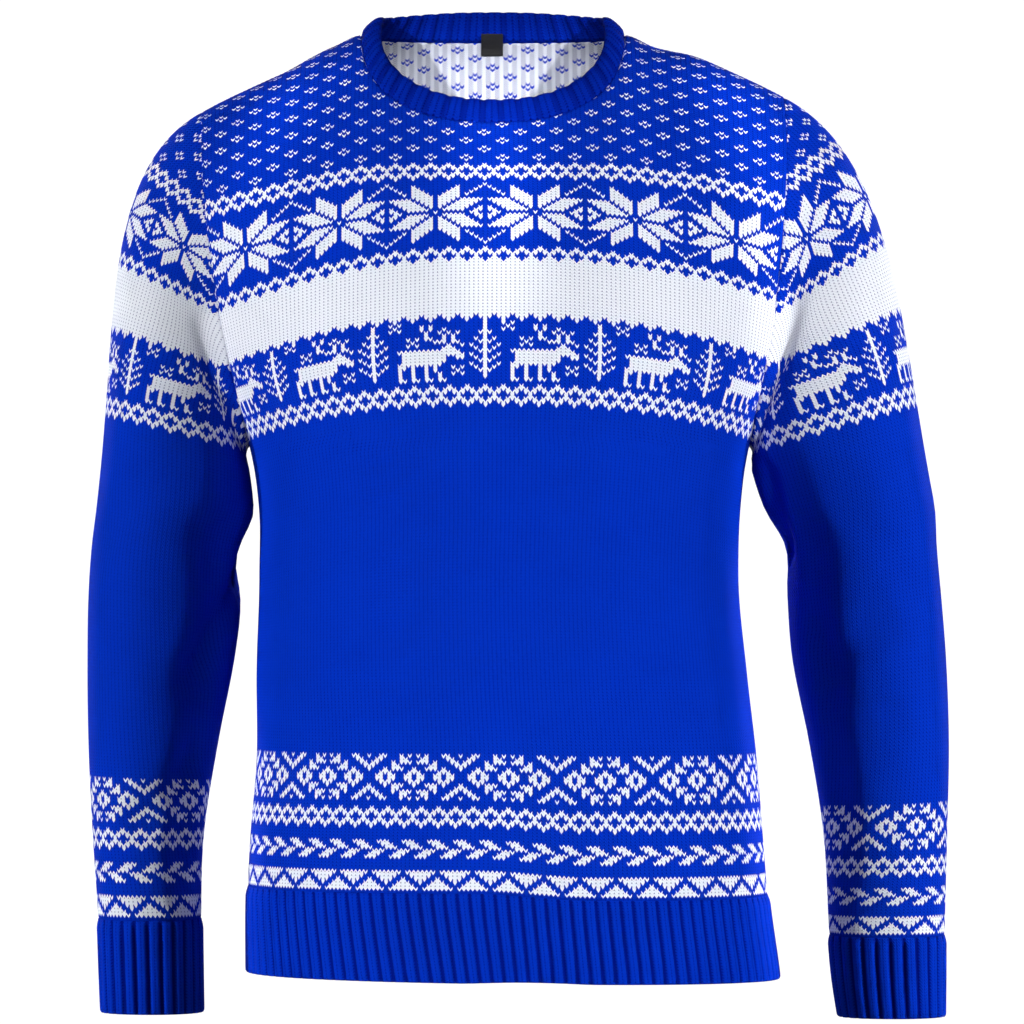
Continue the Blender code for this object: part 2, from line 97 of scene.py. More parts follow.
# over the chest, stitches beyond this one stand wider apart, and each line narrows by a hair
SPARE_FROM, NARROWING = 36, 0.002
# knitted row, its level at the front's middle; and over the chest, its way up from row 60
ROW_LEVEL = (
    (-60, -0.005), (0, -0.092), (19, -0.1262), (37, -0.1615), (53, -0.1977), (65, -0.2242),
    (82, -0.2618), (192, -0.5059), (205, -0.5354), (214, -0.5549), (229, -0.5868), (235, -0.6004),
    (236, -0.6016))
ROW_CLIMB = (
    (60, 0), (53, 0.01583), (37, 0.05348), (19, 0.091), (0, 0.1293), (-19, 0.1645), (-119, 0.3495))
# over the chest a row climbs this much less beside the -X armhole, and beside the +X one
SIDE_DROP = (
    (60, 0, 0), (53, 0.0042, 0.0028), (36, 0.0074, 0.0036), (19, 0.0062, 0.0058), (2, 0.0019, 0),
    (-19, 0, 0))
SIDE_DROP_X, SIDE_DROP_WIDE = 0.035, 0.139
ROW_SAG = ((-60, 0.0277), (82, 0.0277), (110, 0.025), (190, 0), (236, 0))
SAG_X, SAG_ROUND = 0.19, 2.6
LAST_ROW = 236
# the plain stretch between the bands is built by every fourth row
BUILT_ROWS = np.concatenate([np.arange(-75, 84), np.arange(84, 191, 4), np.arange(191, LAST_ROW)])
STITCH_SLANT = 1.0      # how far a stitch's middle hangs below its sides, in rows
WALE_SINK = 0.0002      # the surface sinks this far between two columns of stitches
SEAM_SINK, SEAM_REACH = 0.0004, 0.0022
END_CLEAR = 0.3      # no row lies nearer to a line's ends than this


def along(table, column, at):
    """A smooth curve through one column of a table, read at values of the first column."""
    rows = sorted(table)
    xs = np.array([row[0] for row in rows], float)
    ys = np.array([row[column] for row in rows], float)
    step = np.diff(ys) / np.diff(xs)
    slope = np.concatenate(([step[0]], (step[:-1] + step[1:]) / 2, [step[-1]]))
    slope[np.concatenate(([False], step[:-1] * step[1:] <= 0, [False]))] = 0
    at = np.clip(np.asarray(at, float), xs[0], xs[-1])
    i = np.clip(np.searchsorted(xs, at, side="right") - 1, 0, len(xs) - 2)
    width = xs[i + 1] - xs[i]
    t = (at - xs[i]) / width
    return ((2 * t**3 - 3 * t**2 + 1) * ys[i] + (t**3 - 2 * t**2 + t) * width * slope[i]
            + (3 * t**2 - 2 * t**3) * ys[i + 1] + (t**3 - t**2) * width * slope[i + 1])


def ease(t):
    t = np.clip(t, 0, 1)
    return t * t * (3 - 2 * t)


def rounded(share, power):
    """A superellipse's other coordinate."""
    return np.clip(1 - np.clip(np.abs(share), 0, 1)**power, 0, 1) ** (1 / power)


def unit(vectors):
    return vectors / np.maximum(np.linalg.norm(vectors, axis=-1, keepdims=True), 1e-12)


def hem_dip(x, z):
    """How far the lower body hangs down on its +X side."""
    return ((DIP_STEP * ease((x - DIP_STEP_X) / DIP_STEP_WIDE)
             + DIP_SLOPE * np.clip(x / DIP_SLOPE_WIDE, 0, 1)) * ease((DIP_TOP_Z - z) / DIP_TALL))


def place(x, y, z):
    """Leans the centre line, sets the seams' depth, lifts one shoulder and lowers the hem's end."""
    lift = (SHOULDER_LIFT * np.sign(x) * ease((np.abs(x) - LIFT_X) / LIFT_WIDE)
            * ease((z - UNDERARM_Z) / LIFT_TALL))
    return np.stack([x + along(LEAN, 1, z), y + along(LEAN, 2, z), z + lift - hem_dip(x, z)], -1)


def end_z(side, x):
    return along(SHOULDER, 1 if side == FRONT else 2, np.abs(x))


def body_point(side, x, z):
    """The body's surface at a distance from the centre line and a level."""
    rise = (z - UNDERARM_Z) / (end_z(side, x) - UNDERARM_Z)
    y = side * along(GIRTH, DEPTH[side], z) * rounded(np.clip(rise, 0, 1), PROFILE_ROUND[side])
    return place(x, y * rounded(x / along(GIRTH, 1, z), SECTION_ROUND), z)


def neck_z(side, x):
    """Height of the neck seam at a distance from the centre line."""
    return NECK_SIDE_Z - NECK_DROP[side] * rounded(x / NECK_X, NECK_ROUND)


def trough(rel, run, width):
    """Depth share of a soft trough along a run, at places counted from its start."""
    t = np.clip(rel @ run / (run @ run), -0.2, 1.2)
    gap = np.linalg.norm(rel - t[..., None] * run, axis=-1)
    return np.exp(-(gap / width)**2) * ease(np.minimum(t, 1 - t) * 2.5 + 0.5)


def run_of(points, axis):
    """Distance run along one axis of a grid of points."""
    step = np.linalg.norm(np.diff(points, axis=axis), axis=-1)
    start = np.zeros_like(np.take(step, [0], axis))
    return np.concatenate([start, np.cumsum(step, axis)], axis)


def panel_lines(side):
    """A panel's lines down the middle and between its columns of stitches, top to bottom."""
    power = PROFILE_ROUND[side]
    low = np.linspace(HEM_TOP_Z, UNDERARM_Z, 141)
    turn = np.linspace(0, math.pi / 2, 181)[1:]
    rise = np.concatenate([0 * low, np.sin(turn) ** (2 / power)])[:, None]
    flat = np.concatenate([1 + 0 * low, np.cos(turn) ** (2 / power)])[:, None]
    base = np.concatenate([low, UNDERARM_Z + 0 * turn])[:, None]

    def section(x):
        """Points across the panel: level lines below the underarm, bent as its end is above."""
        z = base + (end_z(side, x) - UNDERARM_Z) * rise
        y = (side * along(GIRTH, DEPTH[side], z) * flat
             * rounded(x / along(GIRTH, 1, z), SECTION_ROUND))
        return place(x, y, z), z

    edge_z = base + (ARMHOLE_TOP_Z - UNDERARM_Z) * rise
    share = np.sin(np.linspace(0, math.pi / 2, 320)) ** (2 / SECTION_ROUND)
    section_x = share[None] * along(GIRTH, 1, edge_z)
    run = run_of(section(section_x)[0], 1)
    loosen = ease((LOOSE_Z - edge_z[:, 0]) / LOOSE_TALL)
    width = STITCH + (run[:, -1] / HALF_STITCHES - STITCH) * loosen
    armhole = along(ARMHOLE, 1, edge_z[:, 0])
    reach = np.array([np.interp(a, x, r) for a, x, r in zip(armhole, section_x, run)])
    below = np.arange(len(base)) < len(low)
    stitches = np.where(below, HALF_STITCHES, reach / width)
    narrowed = np.minimum.accumulate(stitches) - NARROWING * np.arange(len(base))
    spare = np.where(below, 0, reach - narrowed * width)
    halves = np.arange(-2 * HALF_STITCHES, 2 * HALF_STITCHES + 1)
    drift = along(CENTRE_DRIFT, 1, edge_z)
    place_in = halves[None] / 2 + 0 * drift
    for _ in range(30):
        place_in = halves / 2 + drift * (1 - (place_in / HALF_STITCHES)**2)
    way_out = (np.abs(place_in) * width[:, None]
               + spare[:, None] * ease((np.abs(place_in) - SPARE_FROM)
                                       / (narrowed[:, None] - SPARE_FROM)))
    x = np.array([np.interp(w, r, a) for w, r, a in zip(way_out, run, section_x)])
    x *= np.sign(place_in)
    points, z = section(x)
    inset = ease((HALF_STITCHES - np.abs(halves) / 2) / 5)[None]
    for x0, z0, x1, z1, wide, deep in FOLDS[side]:
        rel = np.stack([points[..., 0] - x0, points[..., 2] - z0], -1)
        points[..., 1] -= side * deep * inset * trough(rel, np.array([x1 - x0, z1 - z0]), wide)
    normals = unit(np.cross(np.gradient(points, axis=1), np.gradient(points, axis=0)))
    normals *= side * np.sign(normals[..., 1].mean())

    # rows follow levels, sagging to the sides, up to row 60, and then the surface's own way up
    table = np.arange(-60, LAST_ROW + 0.1, 0.25)
    row_level, row_sag = along(ROW_LEVEL, 1, table), along(ROW_SAG, 1, table)
    sag = np.minimum(np.abs(x) / SAG_X, 1) ** SAG_ROUND
    row = np.interp(-z, -row_level, table)
    for _ in range(12):
        row = np.interp(-(z + np.interp(row, table, row_sag) * sag), -row_level, table)
    way = run_of(points, 0)
    aside = np.clip((np.abs(x) - SIDE_DROP_X) / SIDE_DROP_WIDE, 0, 1.2)
    climb_rows, climbs = np.array(ROW_CLIMB).T
    inside = np.where(np.abs(x) < NECK_X, neck_z(side, x) - z, 1)
    inside = np.minimum(inside, np.where(z > UNDERARM_Z + 1e-6,
                                         along(ARMHOLE, 1, z) - np.abs(x), 1))
    lines = {}
    for c, half in enumerate(halves.astype(int)):
        start = np.interp(-60, -row[:, c], way[:, c])
        climbed = np.interp(way[:, c] - start, climbs, climb_rows)
        for _ in range(8):
            drop = along(SIDE_DROP, 1 if half < 0 else 2, climbed) * aside[:, c]
            climbed = np.interp(way[:, c] - start + drop, climbs, climb_rows)
        number = np.where(way[:, c] < start, row[:, c], climbed)
        out = np.flatnonzero(inside[:, c] <= 0)
        last = float(len(z) - 1)
        if len(out):
            before, after = inside[out[0] - 1, c], inside[out[0], c]
            last = out[0] - 1 + before / (before - after)
        top = np.interp(last, np.arange(len(z)), number)
        lines[half] = (number[::-1], points[::-1, c], normals[::-1, c], top, LAST_ROW)
    return lines


# each line of a motif starts at its first stitch, X white on blue
CHAIN = ("X...", "XX.X", ".XXX", "..X.", ".XXX", "XX.X", "X...")
# a deer facing right, by row from its back; beside it sparks and half a fir
DEER = {-8: (5, 7), -7: (5, 7, 10), -6: (6, 9, 11, 13), -5: (6, 10, 12), -4: (6, 7, 10, 12),
        -3: (8, 9, 10, 12, 13), -2: (11, 14), -1: (10, 11, 12), 0: range(0, 14), 1: range(1, 15),
        2: (*range(1, 11), 13, 14), 3: range(1, 11), 4: range(0, 10), 5: (0, 1, 3, 6, 8),
        6: (0, 3, 6, 8), 7: (0, 3, 6, 9), 8: (0, 3, 6, 9), 9: (0, 1, 3, 4, 6, 7, 9, 10)}
SPARKS = ((3, -3), (13, 6), (-1, -8))
FIR = {1: (-6, -3, 0, 3, 6), 2: (-4, -1, 2, 5), 3: (-2, 1, 4)}
ROSE = ("X..XX...X.X.X.X...XX..", "..XX....XX...XX....XX.", ".XX...X.XXX.XXX.X...XX",
        "XX....XX.......XX....X", "X...X.XXX..X..XXX.X...", "...XXX....XXX....XXX..",
        "..XX.XX..XX.XX..XX.XX.")
LEAF = ("XXX...", ".XXX..", "..XXX.", "XX...X", "X...XX", "...XXX")


def white_stitch(column, row, phase):
    """Whether a stitch is white; phase shifts each band's repeat and says if leaves turn round."""
    if row < 0:
        return any(abs((column - phase["lice"] + 4 * up) % 8 - 4) + abs(row + 3 + 4 * up) == 1
                   for up in ((-row - 3) // 4, (-row + 1) // 4) if up >= 0)
    for first, tall in ((0, 7), (32, 5), (76, 7), (208, 7)):
        if first <= row < first + tall:
            return CHAIN[row - first][(column - phase["chain"]) % 4] == "X"
    if 8 <= row <= 30:
        up = abs(row - 19)
        star = abs((column - phase["star"]) % 22 - 11)
        axis = 11 - star
        petal = any(1 <= a <= 5 and a + 1 <= b <= a + 5 for a, b in ((star, up), (up, star)))
        fly = (axis, up) in ((1, 1), (1, 2), (2, 0), (2, 1), (3, 0))
        return (star, up) == (0, 0) or petal or fly or (axis <= 4 and up == 11 - axis)
    if 37 <= row <= 55:
        at = (column - phase["chain"] + 1) % 4
        return row < 54 or (row == 54 and at < 3) or (row == 55 and at == 1)
    if 56 <= row <= 74:
        at, off = (column - phase["deer"]) % 25, row - 65
        trunk = min(at, 25 - at)
        deer = (at - 6) % 25
        spark = any((abs((deer - x + 12) % 25 - 12), abs(off - y)) in ((0, 0), (1, 1))
                    for x, y in SPARKS)
        fir = (trunk == 0 and off <= 8) or off in FIR.get(trunk, ())
        return spark or fir or deer in DEER.get(off, ())
    if 192 <= row <= 205:
        at = (column - phase["rose"]) % 22
        return ROSE[min(row - 192, 205 - row)][at] == "X"
    if 219 <= row <= 224:
        at = (column - phase["leaf"]) % 6
        return LEAF[row - 219][-at % 6 if phase["turned"] else at] == "X"
    if 229 <= row <= 234:
        at, down = abs((column + 4) % 8 - 4), row - 229
        return at <= 3 - down or abs(column % 8 - 4) <= down - 2
    return False


# of each face: white or not, blue over, under or beside its white stitch, the yoke's wrong side
MARKS = ("white", "over", "under", "beside", "wrong")
LINE_END = 9999      # stands for a row at a line's lower end, and negative at its upper end


def zipped(one, other):
    """Faces between two lines of (row, vertex), with the row each belongs to."""
    i = j = 0
    while one[i][0] < LINE_END or other[j][0] < LINE_END:
        next_i = one[i + 1][0] if one[i][0] < LINE_END else math.inf
        next_j = other[j + 1][0] if other[j][0] < LINE_END else math.inf
        row = max(one[i][0], other[j][0])
        if row == -LINE_END:
            row = min(next_i, next_j) - 1
        if next_i == next_j:
            yield row, (one[i][1], one[i + 1][1], other[j + 1][1], other[j][1])
            i, j = i + 1, j + 1
        elif next_i < next_j:
            yield row, (one[i][1], one[i + 1][1], other[j][1])
            i += 1
        else:
            yield row, (one[i][1], other[j + 1][1], other[j][1])
            j += 1


def made_up(mesh, stitch_uv, bake_uv, finish):
    """A smooth piece with a map that counts stitches and rows and one for the bake."""
    for title, uv in (("stitch", stitch_uv), ("OFBake", bake_uv)):
        mesh.uv_layers.new(name=title).data.foreach_set("uv", np.asarray(uv, np.float32).ravel())
    mesh.polygons.foreach_set("use_smooth", np.ones(len(mesh.polygons), bool))
    mesh.materials.append(finish)
    piece = bpy.data.objects.new(mesh.name, mesh)
    bpy.context.collection.objects.link(piece)
    return piece


def few_rows(half):
    """Rows of a hidden wrong side."""
    return np.arange(-72, LAST_ROW, 6)


def knitted(name, lines, phase, wrong_rows, flip, finish):
    """A knitted shell: stitches laid along the lines outside, a sparser wrong side within."""
    halves = sorted(lines)
    first, last = halves[0], halves[-1]
    outside, inside, data = {}, {}, []
    for layer, store in ((0, outside), (1, inside)):
        for half in halves:
            number, line, normal, top, end = lines[half]
            kept = wrong_rows(half) if layer else BUILT_ROWS
            slant = STITCH_SLANT * (0.5 - half % 2)
            middle = kept - 0.5 + slant
            clear = (middle > top + END_CLEAR) & (middle < end - END_CLEAR)
            kept, at = kept[clear], np.concatenate([[top], middle[clear], [end]])
            spots, facing = (np.stack([np.interp(at, number, of[:, a]) for a in range(3)], -1)
                             for of in (line, normal))
            facing = unit(facing)
            sink = WALL if layer else WALE_SINK * (half % 2)
            ids = [-LINE_END, *kept.tolist(), LINE_END]
            store[half] = [(row, len(data) + i) for i, row in enumerate(ids)]
            data.extend(np.column_stack([spots - facing * sink, facing, at * 0 + half / 2,
                                         at + 0.5 - slant, at * 0 + layer]))
    data = np.array(data)
    points, normals, uv, inner = data[:, :3], data[:, 3:6], data[:, 6:8], data[:, 8]

    # a seam pulls the edges in
    rim = [outside[half][end][1] for half in halves for end in (0, -1)]
    rim += [v for half in (first, last) for row, v in outside[half]]
    tree = kdtree.KDTree(len(rim))
    for v in rim:
        tree.insert(points[v], v)
    tree.balance()
    shown = np.flatnonzero(inner == 0)
    reach = np.array([tree.find(points[v])[2] for v in shown])
    points[shown] -= normals[shown] * (SEAM_SINK * np.exp(-(reach / SEAM_REACH)**2))[:, None]

    faces, facts = [], []

    def add(layer, half, pairs, turned):
        for row, face in pairs:
            faces.append(face[::-1] if turned else face)
            facts.append((layer, half, row))

    for half, after in zip(halves, halves[1:]):
        add(0, half, zipped(outside[half], outside[after]), flip)
        add(1, half, zipped(inside[half], inside[after]), not flip)
        for layer, end, turned in ((2, 0, flip), (3, -1, not flip)):
            face = [store[line][end][1] for store, line in (
                (outside, half), (outside, after), (inside, after), (inside, half))]
            add(layer, half, [(0, face)], turned)
    add(4, first, zipped(outside[first], inside[first]), not flip)
    add(5, last, zipped(outside[last], inside[last]), flip)

    mesh = bpy.data.meshes.new(name)
    mesh.from_pydata(points.tolist(), [], faces)
    white_at = functools.cache(lambda c, row: float(white_stitch(c, row, phase)))
    marks = {title: np.zeros(len(faces), np.float32) for title in MARKS}
    for i, (layer, half, row) in enumerate(facts):
        c = (half + 1) // 2
        if layer == 0 and white_at(c, row):
            marks["white"][i] = 1
            marks["over"][i] = 1 - white_at(c, row - 1)
            marks["under"][i] = 1 - white_at(c, row + 1)
            marks["beside"][i] = 1 - white_at(c + 1 - 2 * (half % 2), row)
        elif layer == 1:
            # inside the yoke the floats of white lie over every column beside a motif's own
            yoke = row < -8
            marks["white"][i] = 1 - white_at(c, row) if yoke else white_at(c, row)
            # the wrong mark, 0.5 over the yoke's inside and 1 on every other column there, drives
            # painted shade: the inside's white dimmed and dark ticks at the row gaps
            marks["wrong"][i] = yoke * (0.5 + 0.5 * ((c - phase["lice"]) % 2))
    for title, values in marks.items():
        mesh.attributes.new(title, "FLOAT", "FACE").data.foreach_set("value", values)

    # for the bake the two sides lie in two wide strips and the edges in four narrow ones
    corner = np.zeros(len(mesh.loops), np.int32)
    mesh.loops.foreach_get("vertex_index", corner)
    sides = np.zeros(len(faces), np.int32)
    mesh.polygons.foreach_get("loop_total", sides)
    layer = np.repeat([fact[0] for fact in facts], sides)
    across = (uv[corner, 0] - first / 2) / (last - first) * 2 * 0.996 + 0.002
    down = np.clip((LAST_ROW + 2 - uv[corner, 1]) / (LAST_ROW + 82), 0, 1)
    low = np.choose(layer, (0.002, 0.802, 0.985, 0.989, 0.993, 0.997))
    tall = np.choose(layer, (0.776, 0.178, 0.002, 0.002, 0.002, 0.002))
    share = np.where(layer < 2, down, inner[corner])
    bake = np.stack([np.where(layer < 4, across, down), low + tall * share], -1)
    return made_up(mesh, uv[corner], bake, finish)


class Value:
    """A socket of a finish's nodes; arithmetic on it adds Math nodes."""

    def __init__(self, tree, socket=None):
        self.tree, self.socket = tree, socket

    def node(self, kind, inputs, out=0, **settings):
        made = self.tree.nodes.new("ShaderNode" + kind)
        for title, setting in settings.items():
            setattr(made, title, setting)
        for title, value in inputs.items():
            if isinstance(value, Value):
                self.tree.links.new(value.socket, made.inputs[title])
            else:
                made.inputs[title].default_value = value
        return Value(self.tree, made.outputs[out])

    def math(self, operation, *others):
        return self.node("Math", dict(enumerate((self, *others))), operation=operation)

    def __add__(self, other):
        return self.math("ADD", other)

    def __sub__(self, other):
        return self.math("SUBTRACT", other)

    def __rsub__(self, other):
        return self.node("Math", {0: other, 1: self}, operation="SUBTRACT")

    def __mul__(self, other):
        return self.math("MULTIPLY", other)

    def __pow__(self, other):
        return self.math("POWER", other)

    __rmul__ = __mul__

    def within(self, start, end):
        """Goes smoothly from 0 at one value to 1 at the other."""
        return self.node("MapRange", {0: self, 1: start, 2: end, 3: 0.0, 4: 1.0},
                         interpolation_type="SMOOTHSTEP")

    def blended(self, dark, light):
        """One colour turning into another as this value goes from 0 to 1."""
        return self.node("Mix", {0: self, 6: dark, 7: light}, 2, data_type="RGBA",
                         clamp_factor=True)

    def drives(self, title):
        """Feeds one input of the finish's shader."""
        shader = self.tree.nodes["Principled BSDF"]
        self.tree.links.new(self.socket, shader.inputs[title])


def finish_of(name, settings):
    """A finish whose shader's constants are given by name."""
    mat = bpy.data.materials.new(name)
    mat.use_nodes = True
    for title, value in settings.items():
        mat.node_tree.nodes["Principled BSDF"].inputs[title].default_value = value
    return mat


# BLUE_SHADE and WHITE_SHADE are the colours of painted shade: the yarn turns towards them in gaps,
# grooves and purl valleys
BLUE_YARN = (0.0006, 0.0300, 0.500, 1)
BLUE_SHADE = (0.0002, 0.0030, 0.150, 1)
WHITE_YARN = (0.820, 0.845, 0.925, 1)
WHITE_SHADE = (0.100, 0.120, 0.260, 1)


def wool(name, patterned, purl_shade=0.0, overall_painted_shade=0.0):
    """Soft worsted yarn: each stitch two plump legs that meet low in the middle."""
    mat = finish_of(name, {"Roughness": 0.88, "Specular IOR Level": 0.015})
    start = Value(mat.node_tree)
    uv = start.node("UVMap", {}, uv_map="stitch")
    across, down = (uv.node("SeparateXYZ", {0: uv}, axis) for axis in (0, 1))
    edge = (across - across.math("ROUND")).math("ABSOLUTE") * 2
    turn = down.math("FRACT") * 2 - 1
    leg = (1 - turn * turn) * (1 - edge**5) * (1 - 0.3 * (1 - edge)**8)
    coords = start.node("TexCoord", {}, 3)
    tuft, cloud = (start.node("TexNoise", {"Vector": coords, "Scale": scale, "Detail": 2.0})
                   for scale in (900.0, 28.0))
    fluff = (tuft - 0.5) * 0.5 + (cloud - 0.5) * 0.25
    # painted shade: holes where stitches meet, grooves between columns and lines between rows
    # darken the yarn; fluff is the yarn's own random tone
    hole = edge.within(0.55, 0.90) * (turn * turn).within(0.20, 0.70)
    painted_shade_and_fluff = hole * 0.62 + edge**4 * 0.16 + turn * turn * 0.10 + fluff
    if patterned:
        white, over, under, beside, wrong = (
            start.node("Attribute", {}, 2, attribute_name=title) for title in MARKS)
        shown = (white * (1 - over * turn.within(-0.60, -0.90))
                 * (1 - under * turn.within(0.60, 0.90)) * (1 - beside * edge.within(0.72, 0.98)))
        # painted shade on white: holes between white stitches darken, partly painted shade and
        # partly the blue yarn behind showing through
        tick = wrong.within(0.6, 0.9) * (turn * turn).within(0.12, 0.45)
        # the yoke's inside is dimmed all over and its ticks darken the gaps between rows, both
        # painted shade
        painted_shade_on_white = hole * 0.95 * (1 - wrong) + wrong.within(0.0, 0.4) * 0.20 + tick * 0.60
        pale = (painted_shade_on_white + fluff * 0.5).blended(WHITE_YARN, WHITE_SHADE)
        colour = shown.blended(painted_shade_and_fluff.blended(BLUE_YARN, BLUE_SHADE), pale)
    else:
        # painted shade: the purl column sunk between two ridges is darkened by purl_shade
        rib = ((across - 0.5) * (1 / 3)).math("FRACT") * 3 - 1.5
        purl = rib.math("ABSOLUTE").within(0.62, 0.30)
        # overall_painted_shade darkens the whole colour: painted shade
        colour = (painted_shade_and_fluff * (1 - purl) + purl * purl_shade + overall_painted_shade).blended(BLUE_YARN, BLUE_SHADE)
    colour.drives("Base Color")
    height = leg + tuft * 0.25
    height.node("Bump", {"Strength": 0.6, "Distance": 0.0006, "Height": height}).drives("Normal")
    return mat


colourwork = wool("blue_and_white_wool", True)
body_phase = {"lice": 0, "chain": 0, "star": 0, "deer": 0, "rose": -7, "leaf": -2, "turned": False}
front = knitted("front_knit", panel_lines(FRONT), body_phase, few_rows, False, colourwork)
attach(front, "root")
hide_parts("front")

# ---- back panel ----
# The back is knitted as the front is, but cut straight across under the neckband, where its
# wrong side, with the white yarn carried behind the blue, shows inside the neck.


def back_rows(half):
    """Rows of the back's wrong side: every row where it shows inside the neck."""
    shown = np.arange(-75, -22) if abs(half) < 72 else np.arange(-72, -22, 6)
    return np.concatenate([shown, np.arange(-22, LAST_ROW, 6)])


back = knitted("back_knit", panel_lines(BACK), dict(body_phase, lice=2), back_rows, True,
               colourwork)
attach(back, "root")
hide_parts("back")

# ---- sleeves ----
# Each sleeve is knitted flat with the same bands, its cap shaped to the armhole, then seamed
# under the arm and set in. The left one creases deeply where it meets the body.
SLEEVE_ROUND = 2.15
CUFF_TOP_Z = {"left": -0.6238, "right": -0.6355}
# level, outer and inner edge counted outward from x = 0, centre depth, half depth
SLEEVE = {
    "left": (
        (-0.312, 0.2793, 0.1722, -0.016, 0.062), (-0.335, 0.2818, 0.17, -0.016, 0.0615),
        (-0.36, 0.285, 0.1778, -0.015, 0.06), (-0.4, 0.2876, 0.1787, -0.014, 0.0575),
        (-0.44, 0.288, 0.1835, -0.016, 0.055), (-0.5, 0.287, 0.195, -0.022, 0.051),
        (-0.565, 0.2835, 0.2048, -0.031, 0.0455), (-0.626, 0.279, 0.2063, -0.039, 0.04),
        (-0.66, 0.2775, 0.2058, -0.043, 0.0385), (-0.692, 0.276, 0.2052, -0.046, 0.038)),
    "right": (
        (-0.312, 0.31, 0.185, -0.016, 0.064), (-0.335, 0.314, 0.193, -0.016, 0.062),
        (-0.36, 0.3152, 0.2065, -0.015, 0.06), (-0.4, 0.3188, 0.2092, -0.014, 0.0575),
        (-0.44, 0.3218, 0.2125, -0.016, 0.055), (-0.5, 0.3235, 0.2243, -0.022, 0.051),
        (-0.565, 0.3218, 0.2342, -0.031, 0.0455), (-0.636, 0.3195, 0.238, -0.04, 0.04),
        (-0.665, 0.3192, 0.2405, -0.043, 0.039), (-0.694, 0.3188, 0.2448, -0.046, 0.038)),
}
# creases: from (degrees round, level) to the same, half width, depth; 0 degrees faces the body,
# 90 the front, 180 outward
CREASES = {
    "left": (
        (-14, -0.362, 74, -0.462, 0.012, 0.0085), (20, -0.338, 78, -0.352, 0.012, 0.003),
        (96, -0.3, 150, -0.368, 0.015, 0.0025), (-38, -0.42, -96, -0.384, 0.013, 0.005),
        (46, -0.345, 50, -0.6, 0.018, 0.0065), (34, -0.505, 104, -0.56, 0.013, 0.004),
        (58, -0.196, 36, -0.234, 0.009, 0.0028), (-150, -0.33, -100, -0.45, 0.015, 0.003)),
    "right": (
        (30, -0.306, 4, -0.372, 0.011, 0.007), (12, -0.388, 66, -0.446, 0.013, 0.004),
        (80, -0.33, 140, -0.4, 0.015, 0.0025), (-30, -0.4, -92, -0.44, 0.013, 0.005),
        (48, -0.3, 44, -0.58, 0.02, 0.0075), (104, -0.404, 54, -0.46, 0.012, 0.0035),
        (104, -0.482, 40, -0.462, 0.012, 0.0028), (62, -0.18, 36, -0.236, 0.01, 0.0034),
        (-148, -0.35, -104, -0.47, 0.015, 0.003)),
}
CREASE_RADIUS = 0.055      # turns degrees round a sleeve into a length
ARMHOLE_GAP = 0.0005
CAP_LEAVE, CAP_ARRIVE, CAP_RINGS, CAP_SPREAD = 0.30, 0.40, 70, 0.33
# how the sleeve leaves the armhole, outward and down: at its outer line, flank and foot
CAP_OUTWARD, CAP_DOWN, CAP_SWELL = (0.88, 0.10, 0.60), (0.46, 0.45, 0.55), 0.06
# knitted row, its level at the sleeve's outer edge, how steeply it rises outward
SLEEVE_ROWS = {
    "left": (
        (-60, -0.007, 1.3), (-22, -0.049, 1.15), (3, -0.0912, 0.81), (37, -0.1626, 0.49),
        (55.5, -0.2097, 0.325), (82, -0.2676, 0.25), (192, -0.5245, 0.03), (198.5, -0.539, 0.02),
        (211, -0.5665, 0.01), (221.5, -0.59, 0.005), (229, -0.608, 0.002), (235, -0.6225, 0),
        (236, -0.6241, 0)),
    "right": (
        (-60, -0.005, 1.2), (-23, -0.04, 0.95), (3, -0.0762, 0.7), (19, -0.1105, 0.73),
        (37, -0.148, 0.63), (55.5, -0.197, 0.4), (82, -0.2606, 0.285), (192, -0.5425, 0.035),
        (198.5, -0.5571, 0.028), (211, -0.5858, 0.018), (221.5, -0.6067, 0.01),
        (229, -0.6222, 0.004), (235, -0.6345, 0), (236, -0.6358, 0)),
}
SLEEVE_TURNS = 181           # places round half a sleeve


def armhole_point(side, sign, turn):
    """The armhole seam, from the underarm at turn 0 to the shoulder at a quarter turn."""
    rise = np.sin(turn) ** (2 / PROFILE_ROUND[side])
    z = UNDERARM_Z + 0.25 * rise
    for _ in range(14):
        x = sign * along(ARMHOLE, 1, z)
        z = UNDERARM_Z + (end_z(side, x) - UNDERARM_Z) * rise
    y = side * along(GIRTH, DEPTH[side], z) * np.cos(turn) ** (2 / PROFILE_ROUND[side])
    return place(x, y * rounded(x / along(GIRTH, 1, z), SECTION_ROUND), z)


def sleeve_point(hand, z, turn):
    """A sleeve's level section: turn 0 faces the body, a quarter turn the front."""
    out, inn = along(SLEEVE[hand], 1, z), along(SLEEVE[hand], 2, z)
    c, s = np.cos(turn), np.sin(turn)
    x = (out + inn) / 2 - (out - inn) / 2 * np.sign(c) * np.abs(c) ** (2 / SLEEVE_ROUND)
    y = (along(SLEEVE[hand], 3, z)
         - along(SLEEVE[hand], 4, z) * np.sign(s) * np.abs(s) ** (2 / SLEEVE_ROUND))
    return np.stack([-x if hand == "left" else x, y, z + 0 * x], -1)


def tube_normals(points):
    """Outward normals of a closed tube of points, rows by columns."""
    across = np.roll(points, -1, 1) - np.roll(points, 1, 1)
    normal = unit(np.cross(across, np.gradient(points, axis=0)))
    return normal * np.sign(np.sum(normal * (points - points.mean(1, keepdims=True)), -1).mean())


